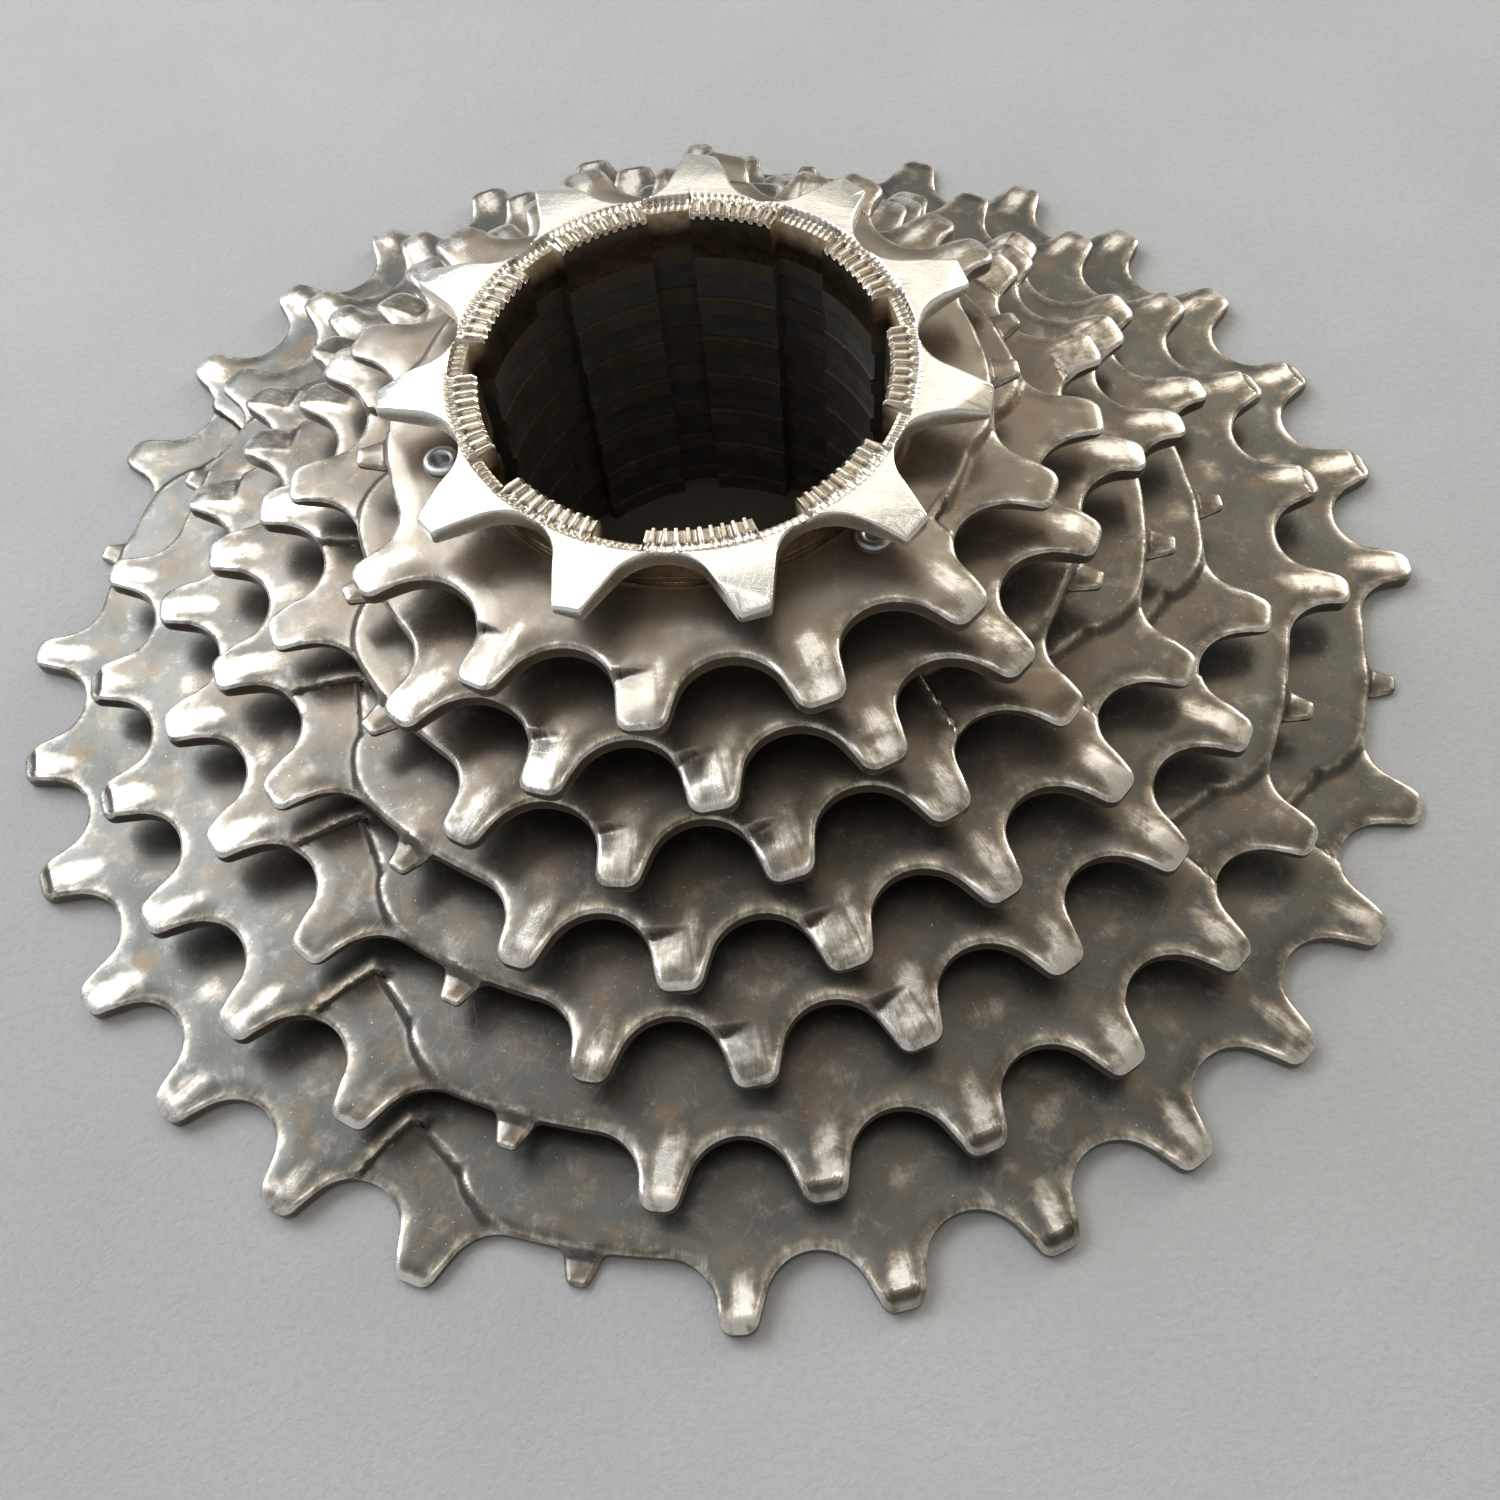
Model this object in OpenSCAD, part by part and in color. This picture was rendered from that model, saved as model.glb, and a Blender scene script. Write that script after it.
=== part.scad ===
// Bicycle cassette: seven riveted sprockets with their spacers, and a loose smallest sprocket.
// Millimetres, +Z up. The origin is on the axis, on the back face of the largest sprocket.
// +Z runs along the axis from the largest sprocket to the smallest.

/* [Chain] */
// Chain pitch, roller centre to roller centre
chain_pitch = 12.7; // [12.5:0.05:12.9]
// Radius of the seat that a chain roller lies in
seat_r = 3.95; // [3.85:0.05:4.1]
// Half of the angle that the seat arc turns through, before the straight flanks
seat_half_angle = 65; // [60:1:70]
// The same half angle on the smallest sprocket, whose teeth are more pointed
small_seat_half_angle = 55; // [50:1:65]
// Height of the tooth tips above the pitch circle
tip_height = 1.6; // [1.2:0.1:2]

/* [Stack] */
// Thickness of a sprocket plate
plate_t = 1.8; // [1.6:0.1:2]
// Gap between two neighbouring plates, filled by a spacer
spacer_t = 3; // [2.6:0.1:3.2]

/* [Splined bore] */
// Radius at the inner ends of the tabs, which ride in the hub body's grooves
tab_r = 16.1; // [15.9:0.1:16.3]
// Radius of the bore between the tabs
bore_r = 17.4; // [17.2:0.1:17.6]
// Angle of a normal notch between two tabs
notch_angle = 12.5; // [11:0.5:14]
// Angle of the wide notch, which lets the sprocket on one way round only
key_notch_angle = 18; // [16:1:20]

/* [Teeth] */
// Height of the bevel on the tooth tips, measured along the axis
tip_bevel_t = 0.55; // [0.3:0.05:0.7]
// Depth of that bevel, measured towards the axis
tip_bevel_d = 1.9; // [1.2:0.1:2.4]
// Tip of a short shift tooth, below the pitch circle
shift_tip_drop = 1.1; // [0.8:0.1:1.6]
// Width of a short shift tooth at its root
shift_tooth_w = 3.4; // [3:0.1:4]
// Depth of the shelf that a short shift tooth stands on
shift_shelf_t = 0.7; // [0.4:0.1:0.9]
// Depth of the ramp pressed into the face beside a short shift tooth
ramp_t = 0.45; // [0.3:0.05:0.6]

/* [Rivets] */
// Radius of the circle that the rivets stand on
rivet_circle_r = 20.1; // [20:0.1:20.6]
// Radius of a rivet's shank
rivet_r = 1.15; // [1:0.05:1.3]
// Radius of a rivet's head
rivet_head_r = 1.5; // [1.4:0.05:1.5]
// Height of the head that stands on the smallest riveted sprocket
rivet_head_t = 0.5; // [0.3:0.1:0.8]

/* [Smallest sprocket] */
// Outer radius of the boss under the smallest sprocket, which spaces it from the next one
boss_r = 18.15; // [18:0.05:18.2]
// Width of the recessed ring between the tabs that seats the lock ring
seat_ring_w = 0.9; // [0.7:0.1:1]
// Depth of that recessed ring
seat_ring_t = 0.9; // [0.5:0.1:1.2]

/* [Hidden] */
$fn = 96;

// The stack from its back: tooth counts, the turn of each tooth ring, and the tooth rings' shift
// teeth as [first index, step], where a step of 0 means none
TEETH = [32, 28, 24, 21, 18, 16, 14, 11];
TURN = [-93.5, -99, -105.5, -97, -84, -92, -101, -82];
SHIFT = [[7, 8], [6, 7], [7, 8], [5, 7], [3, 6], [5, 8], [4, 7], [0, 0]];

// The stepped edge of a ramp, as [distance from the pitch circle, teeth from the shift tooth], and
// where the ramp ends, in teeth from it
RAMP_EDGE = [[-4.2, 0.35], [-4.25, -0.3], [-4.6, -0.6], [-6.3, -0.87], [-7.8, -0.97], [-9.8, -1.45]];
ramp_end = -1.64;
ramp_reach = 6;
pitch_t = plate_t + spacer_t;
eps = 0.01;

// The hub body has nine grooves, and the wide notch lies between the tabs at 30 and 70 degrees
TAB_COUNT = 9;
first_notch_angle = -70;
key_notch_index = 3;

rivet_count = 3;
first_rivet_angle = 70;
rivet_clearance = 0.05;
rivet_hollow_r = 0.6;
rivet_hollow_t = 1.2;
rivet_foot_t = 0.7;
rivet_foot_gap = 0.1;

spacer_tab_r = 16.4;
spacer_bore_r = 17.7;
spacer_r = 22.3;
spacer_edge = 0.35;

// The three largest plates are lightened by windows, given as [inner radius, outer radius]
WINDOWS = [[27, 45], [26.5, 38.5], [26, 33]];
window_count = 6;
window_w = 11;
window_corner_r = 2.5;

function pitch_r(n) = chain_pitch / 2 / sin(180 / n);
function root_r(n) = pitch_r(n) - seat_r;
function tip_r(n) = pitch_r(n) + tip_height;
function plate_z(i) = i * pitch_t;

// One tooth gap: a round seat and the two straight flanks that open outwards from its ends
module tooth_gap(n, half) {
  reach = 2 * tip_height + seat_r;
  x0 = pitch_r(n) - seat_r * cos(half);
  y0 = seat_r * sin(half);
  x1 = x0 + reach * sin(half);
  y1 = y0 + reach * cos(half);
  translate([pitch_r(n), 0]) circle(seat_r);
  polygon([[x0, -y0], [x1, -y1], [x1, y1], [x0, y0]]);
}

// The splined bore: nine tabs stand inwards, between notches, one of them wider
module splined_bore_2d(inner = tab_r, outer = bore_r) {
  circle(inner);
  for (k = [0 : TAB_COUNT - 1])
    rotate(first_notch_angle + k * 360 / TAB_COUNT)
      notch_2d(k == key_notch_index ? key_notch_angle : notch_angle, outer);
}

// One notch between two tabs, a sector of the bore's outer circle
module notch_2d(angle, outer) {
  y = 2 * outer * tan(angle / 2);
  intersection() {
    circle(outer);
    polygon([[0, 0], [2 * outer, -y], [2 * outer, y]]);
  }
}

// The outline of a tooth ring, with its teeth centred at turn, turn + 360 / n and so on
module tooth_ring_2d(n, turn, half = seat_half_angle) {
  difference() {
    circle(tip_r(n));
    for (k = [0 : n - 1])
      rotate(turn + (k + 0.5) * 360 / n) tooth_gap(n, half);
  }
}

// A round disc whose rim is bevelled on both sides, which cuts the bevels of the tooth tips
module bevelled_disc(n) {
  r = tip_r(n);
  rotate_extrude()
    polygon([
      [0, 0], [r - tip_bevel_d, 0], [r, tip_bevel_t], [r, plate_t - tip_bevel_t],
      [r - tip_bevel_d, plate_t], [0, plate_t]
    ]);
}

// What comes off a normal tooth, centred on +X, to leave a short shift tooth
module shift_tooth_cut(n) {
  half_w = pitch_r(n) * sin(180 / n);
  translate([0, 0, -eps]) linear_extrude(plate_t + 2 * eps)
    difference() {
      translate([root_r(n) + 0.25, -half_w]) square([seat_r + 2 * tip_height, 2 * half_w]);
      polygon([
        [root_r(n) - 1, -shift_tooth_w / 2], [pitch_r(n) - shift_tip_drop, -0.5],
        [pitch_r(n) - shift_tip_drop, 0.5], [root_r(n) - 1, shift_tooth_w / 2]
      ]);
    }
  translate([root_r(n) + 0.25, -half_w, plate_t - shift_shelf_t]) cube([2 * seat_r, 2 * half_w, plate_t]);
}

// The ramp pressed into the face beside a short shift tooth, which lies on +X
module ramp_cut(n) {
  a = 360 / n;
  r_min = spacer_r + 0.3;
  outer = pitch_r(n) + ramp_reach;
  edge = [for (p = RAMP_EDGE) max(pitch_r(n) + p[0], r_min) * [cos(p[1] * a), sin(p[1] * a)]];
  rim = [for (u = [ramp_end : 0.5 : 0.4]) outer * [cos(u * a), sin(u * a)]];
  translate([0, 0, plate_t - ramp_t]) linear_extrude(plate_t) polygon(concat(edge, rim));
}

// A window with round corners through a large plate, centred on +X
module window_cut(inner, outer) {
  c = window_corner_r;
  x = [inner + c, outer - c];
  y = window_w / 2 - c;
  translate([0, 0, -eps]) linear_extrude(plate_t + 2 * eps) {
    for (px = x, py = [-y, y]) translate([px, py]) circle(c);
    translate([inner, -y]) square([outer - inner, 2 * y]);
    translate([inner + c, -window_w / 2]) square([outer - inner - 2 * c, window_w]);
  }
}

// One sprocket of the riveted stack, where i counts from the largest
module sprocket(i) {
  n = TEETH[i];
  first = SHIFT[i][0];
  step = SHIFT[i][1];
  translate([0, 0, plate_z(i)]) difference() {
    intersection() {
      linear_extrude(plate_t) tooth_ring_2d(n, TURN[i]);
      bevelled_disc(n);
    }
    translate([0, 0, -eps]) linear_extrude(plate_t + 2 * eps) splined_bore_2d();
    for (k = [0 : rivet_count - 1])
      rotate(first_rivet_angle + k * 360 / rivet_count) translate([rivet_circle_r, 0, -eps])
        cylinder(r = rivet_r + rivet_clearance, h = plate_t + 2 * eps);
    if (i == 0)
      for (k = [0 : rivet_count - 1])
        rotate(first_rivet_angle + k * 360 / rivet_count) translate([rivet_circle_r, 0, -eps])
          cylinder(r = rivet_head_r + rivet_clearance, h = rivet_foot_t + rivet_foot_gap + eps);
    for (k = [first : step : n - 1])
      rotate(TURN[i] + k * 360 / n) {
        shift_tooth_cut(n);
        ramp_cut(n);
      }
    if (i < len(WINDOWS))
      for (k = [0 : window_count - 1])
        rotate(first_rivet_angle + (k + 0.5) * 360 / window_count) window_cut(WINDOWS[i][0], WINDOWS[i][1]);
  }
}

// The smallest sprocket, with the boss that spaces it and the recessed ring that seats the lock ring
module small_sprocket() {
  i = len(TEETH) - 1;
  n = TEETH[i];
  translate([0, 0, plate_z(i)]) difference() {
    union() {
      intersection() {
        linear_extrude(plate_t) tooth_ring_2d(n, TURN[i], small_seat_half_angle);
        bevelled_disc(n);
      }
      translate([0, 0, -spacer_t]) cylinder(r = boss_r, h = spacer_t + eps);
    }
    translate([0, 0, -spacer_t - eps]) linear_extrude(plate_t + spacer_t + 2 * eps) splined_bore_2d();
    translate([0, 0, plate_t - seat_ring_t]) linear_extrude(plate_t) seat_ring_2d();
  }
}

// The recessed ring of the smallest sprocket, cut only behind its notches
module seat_ring_2d() {
  for (k = [0 : TAB_COUNT - 1])
    rotate(first_notch_angle + k * 360 / TAB_COUNT) {
      a = (k == key_notch_index ? key_notch_angle : notch_angle) / 2;
      r = bore_r + seat_ring_w;
      intersection() {
        circle(r);
        polygon([[0, 0], [2 * r, -2 * r * tan(a)], [2 * r, 2 * r * tan(a)]]);
      }
    }
}

// The resin ring between plate i and plate i + 1, whose tabs stand a little back from the plates' own
module spacer(i) {
  e = spacer_edge;
  translate([0, 0, plate_z(i) + plate_t]) difference() {
    rotate_extrude()
      polygon([[0, 0], [spacer_r - e, 0], [spacer_r, e], [spacer_r, spacer_t - e], [spacer_r - e, spacer_t],
               [0, spacer_t]]);
    translate([0, 0, -eps]) linear_extrude(spacer_t + 2 * eps) splined_bore_2d(spacer_tab_r, spacer_bore_r);
    for (k = [0 : rivet_count - 1])
      rotate(first_rivet_angle + k * 360 / rivet_count) translate([rivet_circle_r, 0, -eps])
        cylinder(r = rivet_r + rivet_clearance, h = spacer_t + 2 * eps);
  }
}

// A long rivet: a foot sunk in the largest plate, a shank, and a head with a hollow centre
module rivet(k) {
  top = plate_z(6) + plate_t;
  rotate(first_rivet_angle + k * 360 / rivet_count) translate([rivet_circle_r, 0, 0]) difference() {
    union() {
      translate([0, 0, rivet_foot_gap]) cylinder(r = rivet_head_r, h = rivet_foot_t);
      translate([0, 0, rivet_foot_gap]) cylinder(r = rivet_r, h = top - rivet_foot_gap);
      translate([0, 0, top]) cylinder(r = rivet_head_r, h = rivet_head_t);
    }
    translate([0, 0, top + rivet_head_t - rivet_hollow_t])
      cylinder(r = rivet_hollow_r, h = rivet_hollow_t + eps);
  }
}

module sprocket_32t() { color("#6f6d69") sprocket(0); }
module sprocket_28t() { color("#74716c") sprocket(1); }
module sprocket_24t() { color("#787570") sprocket(2); }
module sprocket_21t() { color("#7d7973") sprocket(3); }
module sprocket_18t() { color("#827d76") sprocket(4); }
module sprocket_16t() { color("#87817a") sprocket(5); }
module sprocket_14t() { color("#8d877f") sprocket(6); }
module sprocket_11t() { color("#b5ab9b") small_sprocket(); }
module spacer_32_28() { color("#1c1b1a") spacer(0); }
module spacer_28_24() { color("#1c1b1a") spacer(1); }
module spacer_24_21() { color("#1c1b1a") spacer(2); }
module spacer_21_18() { color("#1c1b1a") spacer(3); }
module spacer_18_16() { color("#1c1b1a") spacer(4); }
module spacer_16_14() { color("#1c1b1a") spacer(5); }
module rivet_1() { color("#a9aaa8") rivet(0); }
module rivet_2() { color("#a9aaa8") rivet(1); }
module rivet_3() { color("#a9aaa8") rivet(2); }

sprocket_32t();
sprocket_28t();
sprocket_24t();
sprocket_21t();
sprocket_18t();
sprocket_16t();
sprocket_14t();
sprocket_11t();
spacer_32_28();
spacer_28_24();
spacer_24_21();
spacer_21_18();
spacer_18_16();
spacer_16_14();
rivet_1();
rivet_2();
rivet_3();
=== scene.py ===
"""Worn bicycle cassette: seven riveted sprockets, six spacers, three rivets and a loose 11-tooth sprocket."""

import math

import bpy
import numpy as np
from mathutils import Matrix, Vector
from mathutils.geometry import delaunay_2d_cdt
from mathutils.kdtree import KDTree


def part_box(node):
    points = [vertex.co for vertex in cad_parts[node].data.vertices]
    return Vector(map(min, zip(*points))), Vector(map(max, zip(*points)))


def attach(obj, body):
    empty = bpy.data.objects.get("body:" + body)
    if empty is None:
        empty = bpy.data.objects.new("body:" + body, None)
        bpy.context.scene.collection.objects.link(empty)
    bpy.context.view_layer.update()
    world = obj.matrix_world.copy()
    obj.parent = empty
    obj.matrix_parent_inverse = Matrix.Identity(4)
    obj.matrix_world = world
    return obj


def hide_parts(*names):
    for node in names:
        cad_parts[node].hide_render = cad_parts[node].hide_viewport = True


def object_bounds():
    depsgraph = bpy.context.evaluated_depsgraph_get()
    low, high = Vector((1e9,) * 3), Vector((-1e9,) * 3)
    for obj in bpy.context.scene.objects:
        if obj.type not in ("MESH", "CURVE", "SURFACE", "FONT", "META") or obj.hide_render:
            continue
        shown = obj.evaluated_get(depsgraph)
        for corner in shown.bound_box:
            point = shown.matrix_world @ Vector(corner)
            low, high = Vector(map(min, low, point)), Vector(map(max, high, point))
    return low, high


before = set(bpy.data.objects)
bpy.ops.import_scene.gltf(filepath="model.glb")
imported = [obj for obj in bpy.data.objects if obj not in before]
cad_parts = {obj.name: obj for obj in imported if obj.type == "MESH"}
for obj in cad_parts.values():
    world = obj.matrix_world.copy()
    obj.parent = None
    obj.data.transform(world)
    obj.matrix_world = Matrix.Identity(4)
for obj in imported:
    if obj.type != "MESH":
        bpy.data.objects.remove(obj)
cad_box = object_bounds()

# All shapes are worked out in millimetres, and become metres when a mesh is made.
MM = 0.001
TAU = 2 * math.pi

# Teeth: the chain's pitch, a roller's seat and half of its arc, and the tip above the pitch circle
PITCH = 12.7
SEAT_R = 4.1
SEAT_HALF = math.radians(67)
SMALL_SEAT_HALF = math.radians(55)
TIP_HEIGHT = 1.6
TIP_WORN = 0.05
TIP_R = TIP_HEIGHT - TIP_WORN
TIP_CORNER_R = 1.2
SMALL_TIP_CORNER_R = 0.35

# A short shift tooth: half its width at its fillet, foot and top, and how far below the pitch circle it ends
NUB_FILLET, NUB_FOOT, NUB_TOP = 2.6, 1.7, 0.8
NUB_DROP = 1.5

# node, teeth, turn of the first tooth in degrees, first shift tooth, teeth from one shift tooth to the next
RINGS = [
    ("sprocket_32t", 32, -93.5, 7, 8),
    ("sprocket_28t", 28, -99.0, 6, 7),
    ("sprocket_24t", 24, -105.5, 7, 8),
    ("sprocket_21t", 21, -97.0, 5, 7),
    ("sprocket_18t", 18, -84.0, 3, 6),
    ("sprocket_16t", 16, -92.0, 5, 8),
    ("sprocket_14t", 14, -101.0, 4, 7),
]
SMALL = ("sprocket_11t", 11, -82.0)
SPACERS = ["spacer_32_28", "spacer_28_24", "spacer_24_21", "spacer_21_18", "spacer_18_16", "spacer_16_14"]
RIVETS = ["rivet_1", "rivet_2", "rivet_3"]

# The splined bore: nine tabs with a notch between each pair, one notch wider than the rest
TAB_R = 16.1
BORE_R = 17.4
SPACER_TAB_R = 16.4
SPACER_BORE_R = 17.7
TAB_STEP = 40
NOTCHES = [(-70 + TAB_STEP * k, 18.0 if k == 3 else 12.5) for k in range(9)]
NOTCH_WALL = 0.06

# Rivet holes, and the windows of the three largest sprockets as (inner radius, outer radius)
RIVET_CIRCLE_R = 20.1
RIVET_ANGLES = [70, 190, 310]
RIVET_FOOT_HOLE_R = 1.55
RIVET_HOLE_R = 1.2
WINDOWS = [(27, 45), (26.5, 38.5), (26, 33)]
WINDOW_ANGLES = range(100, 460, 60)
WINDOW_W = 11.0
WINDOW_CORNER_R = 2.5


def pitch_r(n):
    return PITCH / 2 / math.sin(math.pi / n)


def smooth(low, high, x):
    t = np.clip((x - low) / (high - low), 0, 1)
    return t * t * (3 - 2 * t)


def bell(x, width):
    return np.exp(-(x / width) ** 2)


def unit(v):
    return v / np.linalg.norm(v)


def polar(r, a):
    """Points at radii r and angles a in radians."""
    return np.column_stack([r * np.cos(a), r * np.sin(a)])


def radius(points):
    return np.hypot(points[:, 0], points[:, 1])


def turning(a):
    """The matrix that turns rows of points by an angle in radians."""
    return np.array([[math.cos(a), math.sin(a)], [-math.sin(a), math.cos(a)]])


def rounded(points, radii):
    """A polyline through points, with a round corner of the given radius at each inner point."""
    steps = 10
    out = [np.array(points[0], float)]
    for i in range(1, len(points) - 1):
        p = np.array(points[i], float)
        a, b = unit(np.array(points[i - 1]) - p), unit(np.array(points[i + 1]) - p)
        half = math.acos(np.clip(a @ b, -1, 1)) / 2
        reach = radii[i] / math.tan(half)
        centre = p + unit(a + b) * radii[i] / math.sin(half)
        start, end = p + a * reach - centre, p + b * reach - centre
        t0, t1 = math.atan2(start[1], start[0]), math.atan2(end[1], end[0])
        sweep = (t1 - t0 + math.pi) % TAU - math.pi
        for k in range(steps + 1):
            t = t0 + sweep * k / steps
            out.append(centre + radii[i] * np.array([math.cos(t), math.sin(t)]))
    out.append(np.array(points[-1], float))
    return np.array(out)


def resample(line, count):
    """count + 1 points along a polyline, closer together where it bends."""
    turn_weight = 0.45
    length = np.linalg.norm(np.diff(line, axis=0), axis=1)
    line = line[np.concatenate([[True], length > 1e-9])]
    d = np.diff(line, axis=0)
    length = np.linalg.norm(d, axis=1)
    heading = np.unwrap(np.arctan2(d[:, 1], d[:, 0]))
    bend = np.abs(np.diff(heading))
    weight = length.copy()
    weight[:-1] += turn_weight * bend
    weight[1:] += turn_weight * bend
    s = np.concatenate([[0], np.cumsum(weight)])
    t = np.linspace(0, s[-1], count + 1)
    return np.column_stack([np.interp(t, s, line[:, 0]), np.interp(t, s, line[:, 1])])


def tooth_half(n, seat_half, corner_r, trim=0.0):
    """Half of a tooth, from the bottom of the gap beside it to the middle of its tip. The tooth lies on +X.

    trim is how far its flank stands back from the usual place.
    """
    h, rp = math.pi / n, pitch_r(n)
    rt = rp + TIP_HEIGHT - TIP_WORN
    turn = np.array([[math.cos(h), -math.sin(h)], [math.sin(h), math.cos(h)]])
    a = np.linspace(0, seat_half, 40)
    seat = np.column_stack([rp - SEAT_R * np.cos(a), -SEAT_R * np.sin(a) - trim])
    seat = np.vstack([(rp - SEAT_R, 0), seat]) @ turn.T
    way = turn @ np.array([math.sin(seat_half), -math.cos(seat_half)])
    corner = seat[-1] + way * (rt - seat[-1][0]) / way[0]
    tip = rounded([seat[-1], corner, (rt, 0)], [0, corner_r, 0])
    return np.vstack([seat[:-1], tip])


def shift_tooth_half(n):
    """Half of a short shift tooth, between gaps that lie on the root circle."""
    h, rp = math.pi / n, pitch_r(n)
    root = rp - SEAT_R
    a = np.linspace(h, NUB_FILLET / root, 30)
    floor = polar(root, a)
    top = rp - NUB_DROP
    flank = rounded([floor[-1], (root + 0.05, NUB_FOOT), (top, NUB_TOP), (top, 0)], [0, 0.7, 0.55, 0])
    return np.vstack([floor[:-1], flank])


def tooth_ring(n, turn_deg, seat_half, corner_r, per_half, fine_half=0, shift=(), trims=(), fine=()):
    """The counter-clockwise outline of a tooth ring, and each point's even-spaced angle.

    shift lists the short teeth, trims those whose first flank stands back, and fine those with fine_half points.
    """
    points, even = [], []
    for k in range(n):
        per = fine_half if k in fine else per_half
        if k in shift:
            before = after = resample(shift_tooth_half(n), per)
        else:
            before = after = resample(tooth_half(n, seat_half, corner_r), per)
            if k in trims:
                trim, half_deg = trims[k]
                before = resample(tooth_half(n, math.radians(half_deg), corner_r, trim), per)
        tooth = np.vstack([before[:-1] * (1, -1), after[::-1][:-1]])
        a = math.radians(turn_deg) + k * TAU / n
        points.append(tooth @ turning(a))
        even.append(a + (np.arange(len(tooth)) / len(tooth) - 0.5) * TAU / n)
    return np.vstack(points), np.concatenate(even)


def outward(points):
    """The outward normal at each point of a closed counter-clockwise outline."""
    d = np.roll(points, -1, axis=0) - np.roll(points, 1, axis=0)
    d /= np.linalg.norm(d, axis=1)[:, None]
    return np.column_stack([d[:, 1], -d[:, 0]])


def spline_angles(per_tab, per_notch=6):
    """Angles round the splined bore, with a flag that is 1 in a notch and 0 on a tab."""
    angles, inside = [], []
    for k, (centre, width) in enumerate(NOTCHES):
        low, high = centre - width / 2, centre + width / 2
        next_width = NOTCHES[(k + 1) % len(NOTCHES)][1]
        next_low = centre + TAB_STEP - next_width / 2
        for i in range(per_notch + 1):
            angles.append(low + NOTCH_WALL + (high - low - 2 * NOTCH_WALL) * i / per_notch)
            inside.append(1)
        for i in range(per_tab + 1):
            angles.append(high + (next_low - high) * i / per_tab)
            inside.append(0)
    return np.radians(np.array(angles)), np.array(inside)


def soften(line, rounds=2):
    """An open polyline with its corners cut round."""
    for _ in range(rounds):
        early, late = 0.75 * line[:-1] + 0.25 * line[1:], 0.25 * line[:-1] + 0.75 * line[1:]
        line = np.vstack([line[:1], np.stack([early, late], axis=1).reshape(-1, 2)[1:-1], line[-1:]])
    return line


def rivet_hole(angle_deg, r):
    """A round hole on the rivets' circle, counter-clockwise."""
    x, y = (RIVET_CIRCLE_R * f(math.radians(angle_deg)) for f in (math.cos, math.sin))
    a = np.arange(24) * TAU / 24
    return np.column_stack([x + r * np.cos(a), y + r * np.sin(a)])


def window_loop(inner, outer, angle_deg):
    """A window with round corners, counter-clockwise."""
    c, w = WINDOW_CORNER_R, WINDOW_W / 2
    steps = 8
    pts = []
    for cx, cy, a0 in [(outer - c, w - c, 0), (inner + c, w - c, 90), (inner + c, c - w, 180), (outer - c, c - w, 270)]:
        for k in range(steps + 1):
            a = math.radians(a0 + 90 * k / steps)
            pts.append((cx + c * math.cos(a), cy + c * math.sin(a)))
    return np.array(pts) @ turning(math.radians(angle_deg))


def in_loop(points, loop):
    """Which points lie inside a closed loop."""
    x, y = points.T
    inside = np.zeros(len(points), bool)
    for (a, b), (c, d) in zip(loop, np.roll(loop, -1, axis=0)):
        if b == d:
            continue
        crosses = (b > y) != (d > y)
        inside ^= crosses & (x < (c - a) * (y - b) / (d - b) + a)
    return inside


def nearest_on(points, line):
    """Distance from each point to an open polyline, the nearest place on it, and the line's direction there."""
    best = np.full(len(points), 1e9)
    place_on, way = np.zeros_like(points), np.zeros_like(points)
    for p, q in zip(line[:-1], line[1:]):
        d = q - p
        t = np.clip(((points - p) @ d) / (d @ d), 0, 1)
        spot = p + t[:, None] * d
        distance = np.linalg.norm(points - spot, axis=1)
        closer = distance < best
        best[closer] = distance[closer]
        place_on[closer] = spot[closer]
        way[closer] = d / np.linalg.norm(d)
    return best, place_on, way


# A ramp's edges, as (distance from the pitch circle, teeth from the shift tooth): a stepped line that runs
# inwards, and a straight step that runs out again to a tooth gap
RAMP_LINE = [(-3.4, 0.42), (-4.15, 0.3), (-4.25, -0.3), (-4.6, -0.6), (-6.3, -0.87), (-7.8, -0.97),
             (-9.0, -1.2), (-9.8, -1.42)]
RAMP_STEP = [(-9.8, -1.42), (-9.8, -1.5), (-7.2, -1.58), (-4.0, -1.64), (3.0, -1.64)]
RAMP_KINK = (-7.6, -0.98)
RAMP_OUTSIDE = 8
RAMP_DEPTH = 0.62
SHELF_DEPTH = 0.35
# How far inside the straight step the floor starts and ends its fall, and where it ends inside the line
STEP_TOP, STEP_FOOT = -0.02, 0.26
LINE_FOOT = 0.75
# The face falls away towards its worn outline by this much, over this width
DISH = 0.28
DISH_W = 2.0
# How far in from the pitch circle the tooth ring reaches, and its least inner radius
RING_DEPTH = 11.0
RING_INNER_R = 21.9
# The first sprockets with facets instead of scoops, with more trimmed teeth, and without pockets
FACETS_FROM, TRIMS_FROM, NO_POCKETS_FROM = 2, 4, 5
# The teeth after a shift tooth whose first flank stands back, and by how much, with half of the seat's arc
TRIM_1, TRIM_2 = (0.8, 78), (0.4, 74)


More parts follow.
